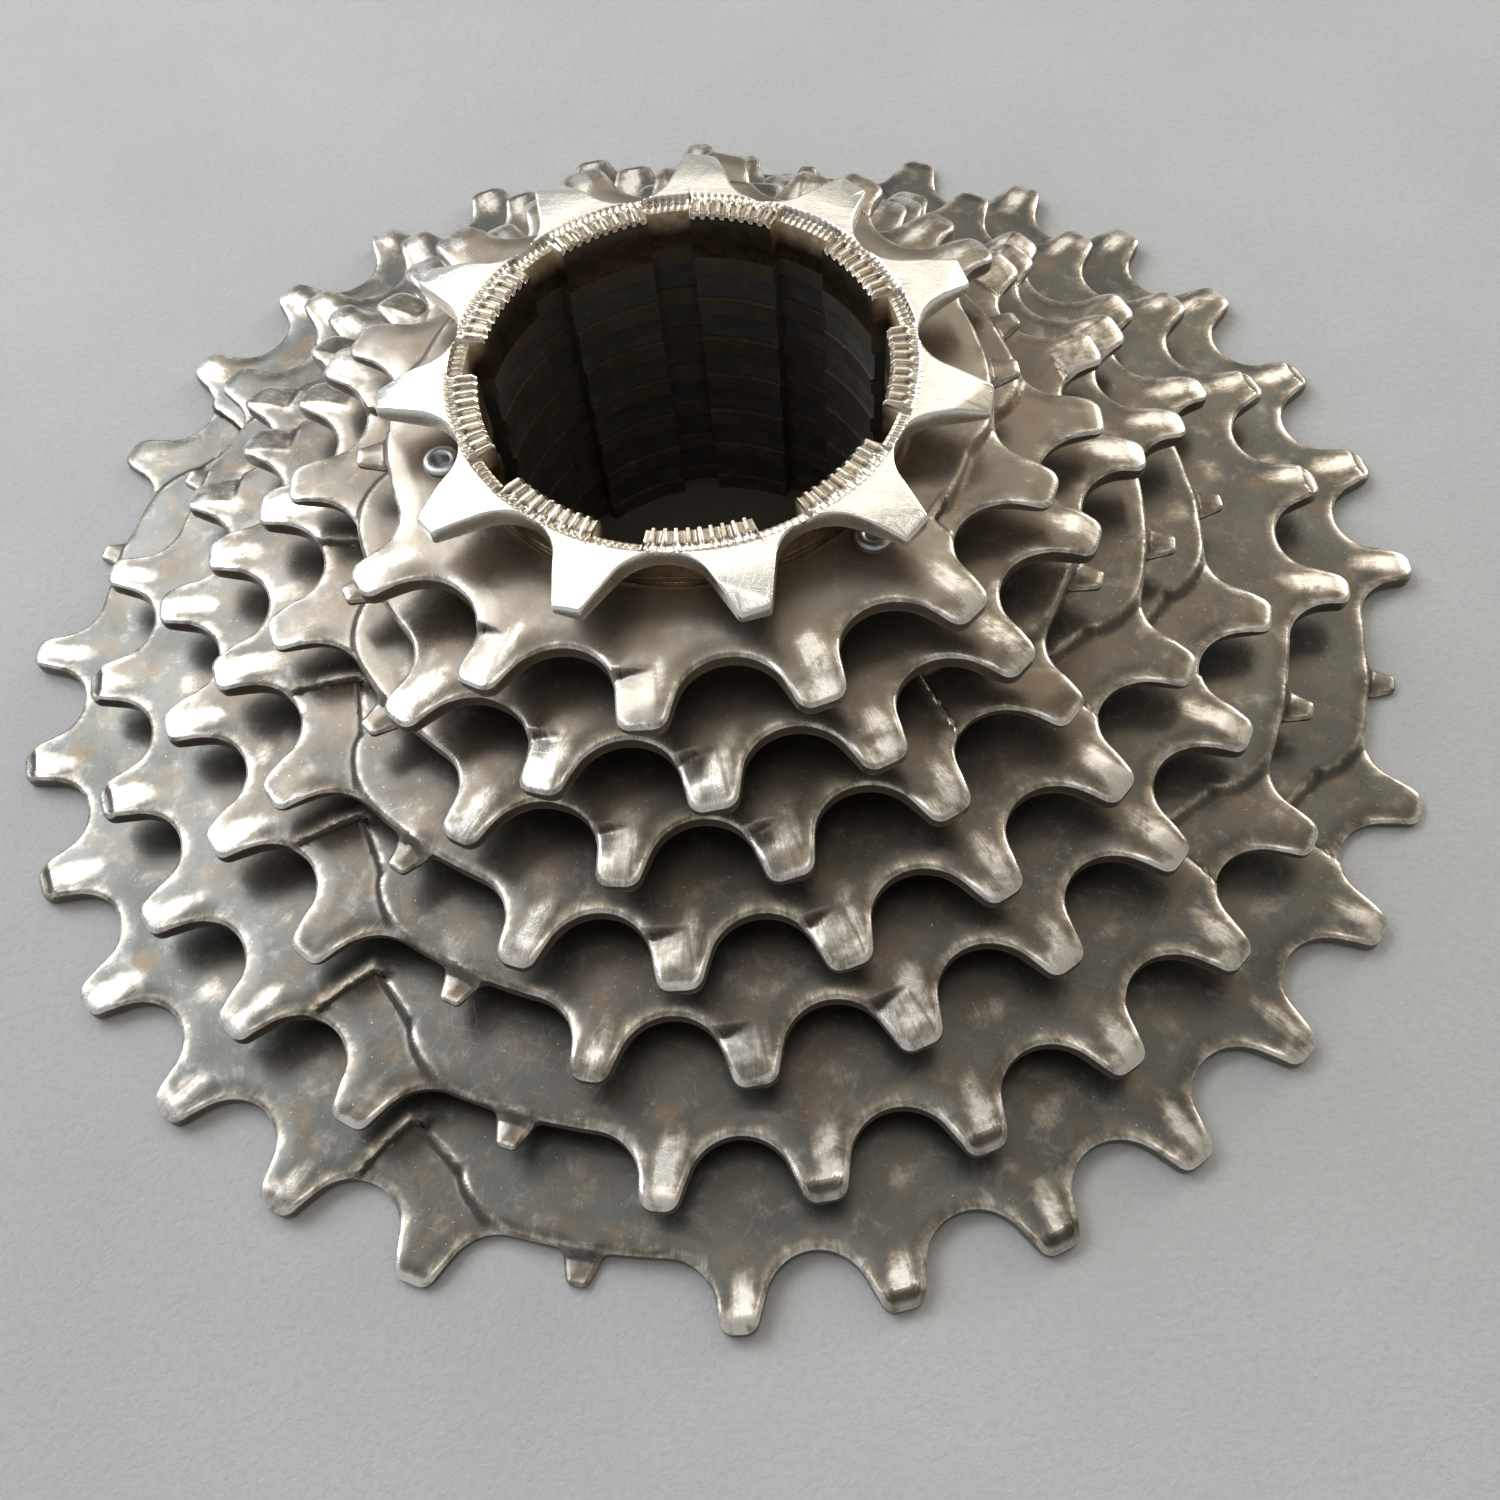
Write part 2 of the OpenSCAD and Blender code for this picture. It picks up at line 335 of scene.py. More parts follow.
class Ring:
    """One sprocket's tooth ring and the height of its face."""

    def __init__(self, i):
        self.i = i
        self.node, self.n, self.turn, first, step = RINGS[i]
        self.shift = list(range(first, self.n, step))
        self.rp = pitch_r(self.n)
        self.a = TAU / self.n
        self.inner = max(self.rp - RING_DEPTH, RING_INNER_R)
        self.facets = [(m + k) % self.n for m in self.shift for k in (2, 3)]
        self.lowered = [(m - 1) % self.n for m in self.shift]
        trims = {(m + 1) % self.n: TRIM_1 for m in self.shift}
        if i >= TRIMS_FROM:
            trims.update({(m + 2) % self.n: TRIM_2 for m in self.shift})
        fine = {(m + k) % self.n for m in self.shift for k in (-2, -1, 0)}
        fine |= set(self.facets) if i >= FACETS_FROM else set()
        self.outline, self.even = tooth_ring(
            self.n, self.turn, SEAT_HALF, TIP_CORNER_R, 22, 32, shift=self.shift, trims=trims, fine=fine)
        self.tree = KDTree(len(self.outline))
        for k, (x, y) in enumerate(self.outline.tolist()):
            self.tree.insert((x, y, 0), k)
        self.tree.balance()
        draw = np.random.default_rng(40 + i)
        self.vary = draw.uniform(-1, 1, (self.n, 3))
        # how strong each painted reflection below the next ring's gaps is
        self.reflection_strengths = draw.uniform(0.2, 0.5, 40)
        self.line, self.step = soften(self.local_points(RAMP_LINE)), self.local_points(RAMP_STEP)
        arc = self.local_points([(RAMP_OUTSIDE, b) for b in np.linspace(RAMP_STEP[-1][1], RAMP_LINE[0][1], 9)])
        self.ramp_loop = np.vstack([self.line, self.step[1:], arc])

    def rim_distance(self, xy):
        """Distance of each point from the outline."""
        near = np.array([self.tree.find((x, y, 0))[1] for x, y in xy.tolist()])
        best = np.full(len(xy), 1e9)
        count = len(self.outline)
        for step in (-1, 0):
            p, q = self.outline[(near + step) % count], self.outline[(near + step + 1) % count]
            d = q - p
            t = np.clip(((xy - p) * d).sum(axis=1) / (d * d).sum(axis=1), 0, 1)
            best = np.minimum(best, np.linalg.norm(xy - p - t[:, None] * d, axis=1))
        return best

    def local_points(self, pairs):
        """Points of a ramp's edge in a frame with the shift tooth on +X."""
        r = np.array([max(self.rp + a, self.inner + 0.7) for a, _ in pairs])
        t = np.array([b for _, b in pairs]) * self.a
        return polar(r, t)

    def near_ramp(self, xy, m, reach):
        """Which points are within reach teeth of shift tooth m, and their radius, angle and place with it on +X."""
        angle = np.arctan2(xy[:, 1], xy[:, 0]) - math.radians(self.turn) - m * self.a
        angle = (angle + math.pi) % TAU - math.pi
        near = np.abs(angle) < reach * self.a
        r = np.hypot(xy[near, 0], xy[near, 1])
        return near, r, angle[near], polar(r, angle[near])

    def snap(self, xy):
        """Points beside a ramp's straight step, moved onto its top or its foot."""
        xy = xy.copy()
        for m in self.shift:
            near, _, _, at = self.near_ramp(xy, m, 2.2)
            side = np.where(in_loop(at, self.ramp_loop), 1, -1)
            to_line = nearest_on(at, self.line)[0]
            to_step, spot, way = nearest_on(at, self.step)
            signed = to_step * side
            inwards = (at - spot) * side[:, None]
            size = np.linalg.norm(inwards, axis=1)[:, None]
            across = np.column_stack([-way[:, 1], way[:, 0]])
            inwards = np.where(size > 0.02, inwards / np.maximum(size, 1e-9), across)
            top = (signed > -0.11) & (signed < 0.08)
            foot = (signed > 0.16) & (signed < 0.36)
            clear = (self.rim_distance(xy[near]) > 0.6) & (to_line > to_step + 0.3)
            goal = np.where(top, STEP_TOP, STEP_FOOT)[:, None]
            moved = np.where(((top | foot) & clear)[:, None], spot + inwards * goal, at)
            xy[near] = moved @ turning(math.radians(self.turn) + m * self.a)
        return xy

    def facet(self, tx, ty, k):
        """The teeth that follow a ramp: how deep they are pressed, how dark they are painted (a painted shadow in a
        wedge along the root line, and a darker tip on scooped teeth), how much of the tooth's streak they keep, and how
        polished the pressed part is."""
        if self.i < FACETS_FROM:
            scoop = smooth(0.15, 0.45, tx - 0.08 * ty ** 2) * (0.2 + 0.26 * np.clip(tx, 0, 2))
            return scoop, smooth(0.2, 0.5, tx) * 0.8, 1.0, 0.0
        # the facet lies left of a line to the tip and beyond a line across the tooth's root
        root, middle, tip = np.array([-2.8, -2.9]), np.array([-3.3, 0.45]), np.array([TIP_R, 1.3])
        along, across = unit(tip - middle), unit(middle - root)
        left = (tx - middle[0]) * along[1] - (ty - middle[1]) * along[0]
        beyond = (tx - root[0]) * across[1] - (ty - root[1]) * across[0]
        drop = 0.21 * (np.sqrt(left ** 2 + 0.03) + left) / 2
        inside = smooth(-0.15, 0.35, beyond)
        fall = smooth(-0.6, TIP_R + 0.4, tx) * 0.34
        # a shadow is painted dark in a wedge along the root line, where the facet drops
        thick = 0.1 + 0.16 * np.clip(left, 0, 3)
        wedge_shadow = smooth(-0.12, 0.1, beyond) * smooth(thick + 0.2, thick - 0.1, beyond)
        wedge_shadow = wedge_shadow * smooth(0.1, 1.0, left)
        kept = 1 - (1 - np.where(inside > 0, smooth(0.3, -0.3, left), 1.0)) * inside
        return np.minimum(drop, 0.62) * inside + fall, wedge_shadow, kept, (1 - kept) * (0.5 + 0.12 * self.vary[k, 1])

    def gap_reflections(self, r, angle):
        """Painted reflections of light through the gaps of the next ring: pale spots on the face below each gap, and a
        brown patch inside each.
        """
        _, n, turn, _, _ = RINGS[self.i + 1]
        gap = (angle - math.radians(turn)) * n / TAU - 0.5
        which = np.round(gap).astype(int) % n
        swing = (gap - np.round(gap)) * TAU / n
        x, y = r * np.cos(swing) - pitch_r(n) - 0.2, r * np.sin(swing)
        spot = np.exp(-(y / 2.0) ** 2 - (x / 1.7) ** 2) * self.reflection_strengths[which]
        return spot, 0.9 * np.exp(-(y / 2.0) ** 2 - ((x + 1.4) / 1.3) ** 2) * self.reflection_strengths[which]

    def press_ramp(self, m, xy, depth, wear_and_sheen, soot_and_shade, brown, rim):
        """Presses the ramp beside shift tooth m into the arrays of the face."""
        near, r, angle, at = self.near_ramp(xy, m, 3.4)
        if not near.any():
            return
        side = np.where(in_loop(at, self.ramp_loop), 1, -1)
        to_line, to_step = nearest_on(at, self.line)[0], nearest_on(at, self.step)[0]
        mask = smooth(STEP_TOP, STEP_FOOT, to_step * side) * smooth(0.0, LINE_FOOT, to_line * side)
        shelf = smooth(0.62, 0.34, np.abs(angle) / self.a) * smooth(-4.3, -3.9, r - self.rp)
        depth[near] += mask * (RAMP_DEPTH + SHELF_DEPTH * shelf)
        # the plate stands up a little along the stepped line
        depth[near] += np.where(side < 0, 0.05 * np.clip(1 - to_line / 0.7, 0, 1) ** 2, 0.05 * (1 - mask))
        rim[near] = np.where(side < 0, np.minimum(rim[near], to_step + 0.1), rim[near])
        # that line's crest is polished, and a shadow is painted dark along the foot of each edge
        crest = bell(to_line * side + 0.02, 0.34) * smooth(0.0, 0.8, to_step)
        crest = np.maximum(crest * 0.56, 0.45 * (side < 0) * np.clip(1 - to_line / 1.6, 0, 1) ** 2)
        wear_and_sheen[near] = np.maximum(wear_and_sheen[near] * (1 - 0.4 * mask), crest)
        foot = bell(to_step * side - 0.2, 0.2)
        foot = np.maximum(foot, 0.25 * bell(to_line * side - 0.65, 0.3))
        soot_and_shade[near] = np.maximum(soot_and_shade[near], foot)
        # a brown stain lies where the edges meet, and a pocket beside the line's kink, painted dark as deep shadow
        apex = self.line[-1]
        reach = radius(at - apex)
        brown[near] += mask * 0.5 * bell(reach, 2.8)
        if self.i < NO_POCKETS_FROM:
            kink = self.local_points([RAMP_KINK])[0]
            pocket = radius(at - kink)
            depth[near] += 0.08 * smooth(0.7, 0.2, pocket)
            soot_and_shade[near] = np.maximum(soot_and_shade[near], 0.8 * smooth(0.8, 0.3, pocket))

    def face(self, xy):
        """How far the face lies below its highest level at points on it, how worn it is with painted sheen and
        reflections, how dark with soot and painted shade, how brown it is, and how polished an outline that runs
        through them is."""
        r = radius(xy)
        angle = np.arctan2(xy[:, 1], xy[:, 0])
        tooth = (angle - math.radians(self.turn)) / self.a
        k = np.round(tooth).astype(int) % self.n
        off = (tooth - np.round(tooth)) * self.a
        tx, ty = r * np.cos(off) - self.rp, r * np.sin(off)
        is_shift, is_facet, is_low = (np.isin(k, some) for some in (self.shift, self.facets, self.lowered))
        rim = self.rim_distance(xy)

        # every whole tooth slopes down to its tip
        start, fall = (-0.2, 0.34) if self.i < FACETS_FROM else (-1.0, 0.5)
        depth = np.where(is_shift | is_facet, 0, smooth(start, TIP_R + 0.6, tx) * fall)
        pressed, facet_darkening, kept, tone = self.facet(tx, ty, k)
        depth += np.where(is_facet, pressed, 0)
        # the facet teeth carry their painted wedge shadow
        soot_and_shade = np.where(is_facet, facet_darkening, 0)

        # a polished streak runs in from each tip, with a brown stain beside its inner end
        v = self.vary[k]
        middle = 0.35 - 0.1 * tx + 0.25 * v[:, 0]
        wide = 1.25 + 0.15 * v[:, 1]
        end = -6.4 + 1.0 * v[:, 2]
        streak = bell(ty - middle, wide) * smooth(end, end + 5.0, tx) * (0.82 + 0.14 * v[:, 1])
        streak = np.maximum(streak, 0.62 * smooth(-2.4, 1.0, tx))
        streak = np.where(is_facet, streak * kept, streak) * np.where(is_low, 0.6, 1.0)
        streak = np.maximum(streak, np.where(is_facet, tone, 0))
        wear_and_sheen = np.where(is_shift, 0.5 * smooth(-3.6, -2.0, tx), streak)
        stain = np.exp(-((ty - middle + 0.9) / 1.0) ** 2 - ((tx - end - 1.3) / 1.2) ** 2)
        brown = np.where(is_shift, 0.4 * smooth(-3.6, -2.6, tx), stain * (0.5 + 0.45 * v[:, 0]))
        # pale spots are painted below the next ring's gaps, as reflections of light through them
        if self.i + 1 < len(RINGS):
            spot, spot_brown = self.gap_reflections(r, angle)
            wear_and_sheen = np.maximum(wear_and_sheen, spot)
            brown += spot_brown
        for m in self.shift:
            self.press_ramp(m, xy, depth, wear_and_sheen, soot_and_shade, brown, rim)

        # the whole outline is worn round, so the face falls away gently towards it
        near_rim = np.clip(1 - rim / DISH_W, 0, 1)
        depth += DISH * (1 - 0.6 * smooth(-3.2, -1.2, tx)) * near_rim ** 2
        # near the outline the face is painted paler, partly a worn edge and partly a painted glow
        wear_and_sheen = np.maximum(wear_and_sheen, 0.66 * near_rim ** 1.3 * np.where(is_shift, 0.8, 1))
        edge = 0.36 + 0.35 * smooth(-3.2, -0.5, tx)
        return depth, np.clip(wear_and_sheen, 0, 1), np.clip(soot_and_shade, 0, 1), np.clip(brown, 0, 1), edge


def show(name, data):
    """A new object in the scene."""
    o = bpy.data.objects.new(name, data)
    bpy.context.scene.collection.objects.link(o)
    return o


def make_mesh(name, verts, quads, tris, attributes, sharp_deg=38):
    """A mesh object from arrays, in metres, smooth apart from its sharp edges."""
    mesh = bpy.data.meshes.new(name)
    quads = np.array(quads, np.int32).reshape(-1, 4)
    tris = np.array(tris, np.int32).reshape(-1, 3)
    mesh.vertices.add(len(verts))
    mesh.vertices.foreach_set("co", (np.asarray(verts) * MM).astype(np.float32).ravel())
    mesh.loops.add(4 * len(quads) + 3 * len(tris))
    mesh.loops.foreach_set("vertex_index", np.concatenate([quads.ravel(), tris.ravel()]))
    mesh.polygons.add(len(quads) + len(tris))
    starts = np.concatenate([np.arange(len(quads)) * 4, 4 * len(quads) + np.arange(len(tris)) * 3])
    mesh.polygons.foreach_set("loop_start", starts.astype(np.int32))
    mesh.polygons.foreach_set("use_smooth", np.ones(len(starts), bool))
    mesh.update(calc_edges=True)
    mesh.validate()
    for key, values in attributes.items():
        layer = mesh.attributes.new(key, "FLOAT", "POINT")
        layer.data.foreach_set("value", np.asarray(values, np.float32))
    mesh.set_sharp_from_angle(angle=math.radians(sharp_deg))
    return show(name, mesh)


def grid_quads(rows, count, closed=False):
    """Quads between rows of count points each, where every row runs round the axis counter-clockwise."""
    i = np.arange(rows if closed else rows - 1)[:, None]
    j = np.arange(count)[None, :]
    a, b = i * count, ((i + 1) % rows) * count
    return np.stack(np.broadcast_arrays(a + j, a + (j + 1) % count, b + (j + 1) % count, b + j), axis=-1).reshape(-1, 4)


def bend(*degrees):
    """How far a quarter-round rim lies in from its outside and from its end at each of the angles, from 0 to 1."""
    return [(1 - math.cos(math.radians(p)), 1 - math.sin(math.radians(p))) for p in degrees]


def place(o, body, node, slot, material):
    """Puts a finished piece on its body, in place of its CAD node."""
    o.data.materials.append(material)
    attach(o, body)
    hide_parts(node)


def fill(outer, holes):
    """Triangles between a closed loop and the holes in it, counter-clockwise, and all the loops' points."""
    points = np.vstack([outer] + holes)
    edges, start = [], 0
    for loop in [outer] + holes:
        m = len(loop)
        edges += [(start + k, start + (k + 1) % m) for k in range(m)]
        start += m
    result = delaunay_2d_cdt([Vector(p) for p in points.tolist()], edges, [], 0, 1e-7)
    origin = [o[0] if o else -1 for o in result[3]]
    faces = [[origin[v] for v in f] for f in result[2] if len(f) == 3 and all(origin[v] >= 0 for v in f)]
    faces = np.array(faces)
    mid = points[faces].mean(axis=1)
    keep = radius(mid) < radius(outer).max()
    for hole in holes:
        keep &= ~in_loop(mid, hole)
    faces = faces[keep]
    p = points[faces]
    d1, d2 = p[:, 1] - p[:, 0], p[:, 2] - p[:, 0]
    turned = d1[:, 0] * d2[:, 1] - d1[:, 1] * d2[:, 0] < 0
    faces[turned] = faces[turned][:, ::-1]
    return faces, points


# How far a plate's worn front rim reaches in and down, and the radius of its back rim
RIM_IN = 0.38
RIM_DROP = 0.19
BACK_RIM = 0.22


def build_sprocket(i, material):
    """A riveted sprocket: a grid over its tooth ring, and a flat part with holes inside that."""
    ring = Ring(i)
    low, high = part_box(ring.node)
    z0, t = low.z / MM, (high.z - low.z) / MM
    outline = ring.outline
    normal = outward(outline)
    count = len(outline)
    rows, zs, wear_and_sheen_rows, soot_and_shade_rows, browns = [], [], [], [], []

    def add(xy, z, wear_and_sheen, soot_and_shade, brown):
        rows.append(xy)
        for values, value in zip((zs, wear_and_sheen_rows, soot_and_shade_rows, browns), (z, wear_and_sheen, soot_and_shade, brown)):
            values.append(np.broadcast_to(value, count).astype(float))

    def to_circle(base, s):
        """Row s of the way from the rim to the inner circle, where the points end evenly spaced."""
        r, a = radius(base), np.arctan2(base[:, 1], base[:, 0])
        slip = (ring.even - a + math.pi) % TAU - math.pi
        a = a + slip * smooth(0.1, 0.75, s)
        r = r + (ring.inner - r) * s
        return polar(r, a)

    # the back, its rim and the wall
    back = outline - normal * BACK_RIM
    add(to_circle(back, 1.0), 0, 0, 0, 0)
    add(to_circle(back, 0.12), 0, 0.3, 0, 0)
    for step, rise in bend(90, 60, 30, 0):
        add(outline - normal * BACK_RIM * step, BACK_RIM * rise, 0.4, 0, 0.4)
    edge_depth, _, _, _, rim = ring.face(outline)
    top = t - edge_depth - RIM_DROP
    add(outline, BACK_RIM + (top - BACK_RIM) * 0.5, 0, 0.5, 0.8)
    add(outline, BACK_RIM + (top - BACK_RIM) * 0.88, rim * 0.3, 0.35, 0.8)

    # the front rim, and the face from there to the inner circle
    for step, drop in bend(0, 22, 45, 68, 90):
        xy = outline - normal * RIM_IN * step
        depth, wear_and_sheen, soot_and_shade, brown, _ = ring.face(xy)
        add(xy, t - depth - RIM_DROP * drop, np.maximum(wear_and_sheen, rim), soot_and_shade * 0.3, brown * 0.5)
    base = outline - normal * RIM_IN
    span = max(ring.rp - SEAT_R - ring.inner, 2.0)
    steps = int(np.clip(round(span / 0.2), 30, 36))
    for k in range(1, steps + 1):
        s = k / steps
        xy = to_circle(base, s)
        if s < 0.93:
            xy = ring.snap(xy)
        depth, wear_and_sheen, soot_and_shade, brown, _ = ring.face(xy)
        add(xy, t - depth * smooth(1.0, 0.93, s), wear_and_sheen, soot_and_shade, brown)
    verts = np.column_stack([np.vstack(rows), np.concatenate(zs) + z0])
    quads = grid_quads(len(rows), count)

    # the flat part inside the tooth ring, with its bore, rivet holes and windows
    a, notch = spline_angles(10)
    r = np.where(notch == 1, BORE_R, TAB_R)
    holes = [polar(r, a)]
    holes += [rivet_hole(deg, RIVET_FOOT_HOLE_R if i == 0 else RIVET_HOLE_R) for deg in RIVET_ANGLES]
    if i < len(WINDOWS):
        holes += [window_loop(*WINDOWS[i], deg) for deg in WINDOW_ANGLES]
    faces, points = fill(rows[-1], holes)
    hole_xy = points[count:]
    n_hole = len(hole_xy)
    top_start = len(verts)
    bottom_start = top_start + n_hole
    verts = np.vstack([verts, *(np.column_stack([hole_xy, np.full(n_hole, z)]) for z in (z0 + t, z0))])
    top_map = np.concatenate([(len(rows) - 1) * count + np.arange(count), top_start + np.arange(n_hole)])
    bottom_map = np.concatenate([np.arange(count), bottom_start + np.arange(n_hole)])
    tris = np.vstack([top_map[faces], bottom_map[faces][:, ::-1]])
    walls, start = [quads], 0
    for hole in holes:
        k = start + np.arange(len(hole))
        k2 = start + (np.arange(len(hole)) + 1) % len(hole)
        walls.append(np.column_stack([top_start + k, top_start + k2, bottom_start + k2, bottom_start + k]))
        start += len(hole)
    attributes = {}
    for key, values, in_holes in (("wear_and_sheen", wear_and_sheen_rows, 0.35), ("soot_and_shade", soot_and_shade_rows, 0.4), ("brown", browns, 0.9)):
        attributes[key] = np.concatenate(values + [np.full(2 * n_hole, in_holes)])
    o = make_mesh(f"plate_{ring.n}t", verts, np.vstack(walls), tris, attributes)
    place(o, "riveted_stack", ring.node, "worn_steel", material)


def spline_radius(deg, inner, outer):
    """The bore's radius at angles in degrees."""
    r = np.full(len(deg), float(inner))
    for centre, width in NOTCHES:
        away = np.abs((deg - centre + 180) % 360 - 180)
        r[away < width / 2] = outer
    return r


# The smallest sprocket's plate and boss. The boss wall has three grooves, given from its bottom up as
# (distance inside the boss's radius, height, wear with painted highlight); the groove lips are painted bright as
# highlights, and the grooves, where that is low, are painted dark as shade.
SMALL_T = 1.8
BOSS_R = 18.15
BOSS_FOOT_R = 18.25
BOSS_WALL = [
    (0.08, 0.02, 1), (0.0, 0.12, 1), (0.0, 0.5, 0.4), (0.16, 0.56, 0), (0.16, 0.68, 0), (0.0, 0.74, 0.6),
    (0.0, 1.1, 0.4), (0.12, 1.15, 0), (0.12, 1.25, 0), (0.0, 1.3, 0.6), (0.0, 2.6, 0.2),
]
# Its back rim, its front rim inwards and down, and the bevel round its bore
SMALL_BACK_RIM = 0.18
SMALL_RIM_IN, SMALL_RIM_DROP = 0.22, 0.16
BORE_BEVEL = 0.3
# Ridges round the bore: coarse ones on the tabs and fine ones in a ring outside them
COARSE_RIDGES, FINE_RIDGES = 124, 200


def build_small_sprocket(material):
    """The loose 11-tooth sprocket with the boss below it, as one closed grid round the axis."""
    node, n, turn = SMALL
    low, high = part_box(node)
    z_bottom, z_top = low.z / MM, high.z / MM
    z_plate = z_top - SMALL_T
    rp = pitch_r(n)
    count = 1320
    a = np.arange(count) * TAU / count
    deg = np.degrees(a)
    outline, _ = tooth_ring(n, turn, SMALL_SEAT_HALF, SMALL_TIP_CORNER_R, 120)
    oa = np.unwrap(np.arctan2(outline[:, 1], outline[:, 0]))
    orad = radius(outline)
    r_out = np.interp((a - oa[0]) % TAU, np.append(oa - oa[0], TAU), np.append(orad, orad[0]))
    xy_out = polar(r_out, a)
    normal = outward(xy_out)
    r_in = spline_radius(deg, TAB_R, BORE_R)
    notch = spline_radius(deg, 0.0, 1.0)
    soft_notch = np.convolve(np.tile(notch, 3), np.ones(5) / 5, "same")[count:2 * count]
    u = ((deg - turn + 180 / n) % (360 / n)) - 180 / n
    rows, zs, wear_and_sheen_rows, soot_and_shade_rows = [], [], [], []

    def add(xy, z, wear_and_sheen, soot_and_shade):
        rows.append(xy)
        for values, value in zip((zs, wear_and_sheen_rows, soot_and_shade_rows), (z, wear_and_sheen, soot_and_shade)):
            values.append(np.broadcast_to(value, count).astype(float))

    def circle(r):
        return polar(np.broadcast_to(r, count), a)

    def depth_at(xy):
        """How far the face lies below the top, and how much darker it is in the grooves between its ridges."""
        r = radius(xy)
        ty = r * np.sin(np.radians(u))
        tx = r * np.cos(np.radians(u)) - rp
        depth = smooth(-2.4, TIP_HEIGHT + 0.6, tx) * 0.34
        # each tip has a flat bevel on its low side
        bevel = (tx - 0.1) * 0.3 - (ty + 0.3) * 0.2
        depth = depth + np.minimum((bevel + np.sqrt(bevel ** 2 + 0.012)) / 2, 0.6)
        coarse = smooth(0.25, 0.85, 0.5 + 0.5 * np.cos(np.radians(deg) * COARSE_RIDGES))
        fine = 0.5 + 0.5 * np.cos(np.radians(deg) * FINE_RIDGES)
        tab_zone = smooth(18.0, 17.5, r) * (1 - soft_notch)
        ring_zone = smooth(18.55, 18.3, r) * smooth(17.3, 17.5, r)
        depth = depth + tab_zone * 0.34 * (1 - coarse) + ring_zone * (1 - tab_zone) * (0.1 + 0.16 * (1 - fine))
        depth = depth + soft_notch * smooth(18.45, 18.2, r) * 0.42
        return depth, tab_zone * (1 - coarse) * 0.8 + ring_zone * (1 - fine) * 0.6

    # the boss from its bottom up, and the plate's back
    add(circle(r_in), z_bottom, 0.2, 0.4)
    add(circle(BOSS_R - 0.3), z_bottom, 0.4, 0.2)
    # painted highlights on the groove lips, and painted shade in the grooves
    for r_step, z_step, wear_and_sheen in BOSS_WALL:
        add(circle(BOSS_R - r_step), z_bottom + z_step, wear_and_sheen, 1 - wear_and_sheen)
    add(circle(BOSS_FOOT_R), z_plate, 0.1, 0.8)
    back = xy_out - normal * SMALL_BACK_RIM
    half_way = radius(back) * 0.5 + 0.5 * BOSS_FOOT_R
    add(circle(np.maximum(half_way, BOSS_FOOT_R)), z_plate, 0.2, 0.2)

    # the teeth's back rim, wall and front rim
    for step, rise in bend(90, 45, 0):
        add(xy_out - normal * SMALL_BACK_RIM * step, z_plate + SMALL_BACK_RIM * rise, 0.7, 0)
    edge = depth_at(xy_out)[0]
    add(xy_out, z_plate + SMALL_BACK_RIM + (SMALL_T - edge - 2 * SMALL_BACK_RIM) * 0.5, 0.35, 0.3)
    for step, drop in bend(0, 30, 60, 90):
        xy = xy_out - normal * SMALL_RIM_IN * step
        add(xy, z_top - depth_at(xy)[0] - SMALL_RIM_DROP * drop, 1, 0)

    # the face, from the teeth to the bore
    inner_start = xy_out - normal * SMALL_RIM_IN
    ang = np.unwrap(np.arctan2(inner_start[:, 1], inner_start[:, 0]))
    rad = radius(inner_start)
    steps = 40
    for k in range(1, steps + 1):
        s = (k / steps) ** 0.9
        blend_a = ang + ((a - ang + math.pi) % TAU - math.pi) * s
        r = rad + (r_in + BORE_BEVEL - rad) * s
        xy = polar(r, blend_a)
        depth, soot_and_shade = depth_at(xy)
        add(xy, z_top - depth, np.clip(0.7 + np.exp(-k / 1.5), 0, 1), soot_and_shade)

    # the bore, from its bevel down, darker lower down
    wall = circle(r_in)
    add(wall, z_top - depth_at(wall)[0] - BORE_BEVEL, 0.8, 0)
    add(wall, (z_top + z_plate) / 2, 0.3, 0.1)
    add(wall, z_plate, 0.2, 0.5)
    add(wall, (z_bottom + z_plate) / 2, 0.1, 0.8)
    verts = np.column_stack([np.vstack(rows), np.concatenate(zs)])
    quads = grid_quads(len(rows), count, closed=True)
    reach = radius(verts)
    gold = np.where(verts[:, 2] < z_plate + 0.05, 1.0, 0.5 * smooth(19.4, 17.6, reach))
    # the walls of the notches are stained and dull
    dull = np.where(reach < np.tile(r_in, len(rows)) + 0.02, np.tile(notch, len(rows)), 0.0)
    dull *= smooth(z_plate - 1.5, z_plate, verts[:, 2])
    o = make_mesh("plate_11t", verts, quads, [], {
        "wear_and_sheen": np.concatenate(wear_and_sheen_rows), "soot_and_shade": np.concatenate(soot_and_shade_rows), "gold": gold, "dull": dull,
    }, 40)
    place(o, "top_sprocket", node, "pale_steel", material)


def build_spacer(node, material):
    """A moulded ring with a splined bore and shallow grooves round its outside."""
    low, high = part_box(node)
    z0, z1 = low.z / MM, high.z / MM
    a, notch = spline_angles(12)
    order = np.argsort(a % TAU)
    a, notch = (a % TAU)[order], notch[order]
    r_in = np.where(notch == 1, SPACER_BORE_R, SPACER_TAB_R)
    # the outside from the bottom up, as (distance inside its radius, height out of 3)
    prof = [(0.3, 0.0), (0.06, 0.06), (0.0, 0.3)]
    for z in (0.9, 1.7):
        prof += [(0.0, z), (0.18, z + 0.08), (0.18, z + 0.32), (0.0, z + 0.4)]
    prof += [(0.0, 2.7), (0.06, 2.94), (0.3, 3.0)]
    rows = [(np.full(len(a), high.x / MM - d), z0 + z * (z1 - z0) / 3) for d, z in prof]
    rows += [(r_in + d, z) for d, z in [(0.15, z1), (0.0, z1 - 0.15), (0.0, z0 + 0.15), (0.15, z0)]]
    verts = np.vstack([np.column_stack([r * np.cos(a), r * np.sin(a), np.full(len(a), z)]) for r, z in rows])
    o = make_mesh(node.replace("spacer", "ring"), verts, grid_quads(len(rows), len(a), closed=True), [], {})
    place(o, "riveted_stack", node, "black_resin", material)


